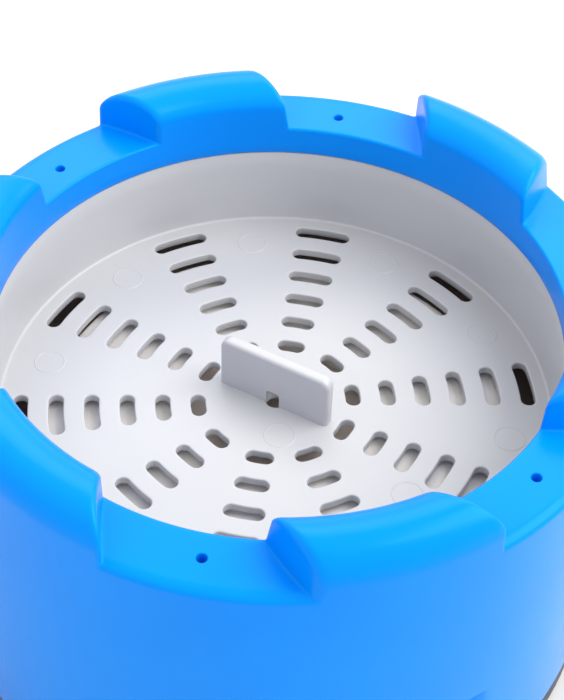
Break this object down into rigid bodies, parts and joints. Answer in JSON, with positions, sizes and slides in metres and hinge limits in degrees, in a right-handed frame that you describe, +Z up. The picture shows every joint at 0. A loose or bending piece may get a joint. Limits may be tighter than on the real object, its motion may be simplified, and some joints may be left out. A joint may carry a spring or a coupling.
{
  "type": "tabletop pottery wheel",
  "caption": "Round tabletop pottery wheel with a battlemented plastic rim round a spinning, slotted draining dish with a central clay key; belt driven, with speed knob and power switch.",
  "frame": {"origin": "on the wheel's axis, at the level that the rubber feet stand on", "axes": "+Z up along the wheel's axis; -Y towards the control panel and the person at the wheel; +X to that person's right"},
  "size_m": [0.222, 0.222, 0.1436],
  "materials": {
    "blue_shell": "glossy moulded plastic, sky blue",
    "white_dish": "satin moulded plastic, white",
    "platter_plastic": "moulded plastic, off-white",
    "hub_metal": "bare cast metal, brown-grey",
    "charcoal_plastic": "fine-textured moulded plastic",
    "black_plastic": "black moulded plastic",
    "grey_panel": "light grey satin plastic",
    "knob_plastic": "white satin plastic, ribbed",
    "rocker_plastic": "glossy black plastic",
    "lamp_lens": "clear green lens",
    "rubber": "soft black rubber",
    "belt_rubber": "flat rubber belt",
    "zinc_screw": "zinc-plated steel",
    "bearing_steel": "ground steel",
    "motor_steel": "plated pressed steel",
    "cast_alloy": "die-cast alloy",
    "magnet": "sintered ferrite",
    "circuit_board": "green solder mask",
    "sensor_plastic": "moulded case",
    "pulley_brass": "turned brass"
  },
  "bodies": {
    "housing": {"housing_shell": "blue_shell", "base_tray": "charcoal_plastic", "rubber_feet": "rubber", "housing_screws": "zinc_screw", "bearing_tower": "cast_alloy", "tower_screws": "zinc_screw", "bearing_outers": "bearing_steel", "bearing_balls": "bearing_steel", "catch_pan": "black_plastic", "pan_screws": "zinc_screw", "drive_belt": "belt_rubber", "motor_can": "motor_steel", "motor_end_cap": "black_plastic", "motor_magnets": "magnet", "motor_bracket": "motor_steel", "motor_screws": "zinc_screw", "bracket_screws": "zinc_screw", "control_board": "circuit_board", "board_screws": "zinc_screw", "board_components": "black_plastic", "control_panel": "grey_panel", "speed_sensor": "sensor_plastic", "sensor_nut": "zinc_screw", "switch_body": "black_plastic", "power_lamp": "lamp_lens", "power_inlet": "black_plastic"},
    "wheel": {"slotted_dish": "white_dish", "dish_screws": "zinc_screw", "drive_platter": "platter_plastic", "platter_hub": "hub_metal", "hub_screws": "zinc_screw", "spindle": "bearing_steel", "spindle_clip": "zinc_screw", "bearing_inners": "bearing_steel", "wheel_pulley": "black_plastic"},
    "rotor": {"motor_shaft": "bearing_steel", "motor_armature": "motor_steel", "motor_pulley": "pulley_brass"},
    "knob": {"speed_knob": "knob_plastic", "sensor_shaft": "bearing_steel"},
    "rocker": {"power_rocker": "rocker_plastic"}
  },
  "joints": [
    {"name": "wheel_spin", "type": "hinge", "parent": "housing", "child": "wheel", "pos_m": [0, 0, 0.06], "axis": [0, 0, 1], "continuous": true},
    {"name": "motor_spin", "type": "hinge", "parent": "housing", "child": "rotor", "pos_m": [0, 0.068, 0.05], "axis": [0, 0, 1], "continuous": true},
    {"name": "speed_turn", "type": "hinge", "parent": "housing", "child": "knob", "pos_m": [0.022, -0.1, 0.037], "axis": [0, 1, 0], "range_deg": [0, 270]},
    {"name": "power_tip", "type": "hinge", "parent": "housing", "child": "rocker", "pos_m": [-0.024, -0.0975, 0.037], "axis": [-1, 0, 0], "range_deg": [0, 16]}
  ],
  "couplings": [
    {"joint": "motor_spin", "follows": "wheel_spin", "ratio": 5.2746}
  ]
}
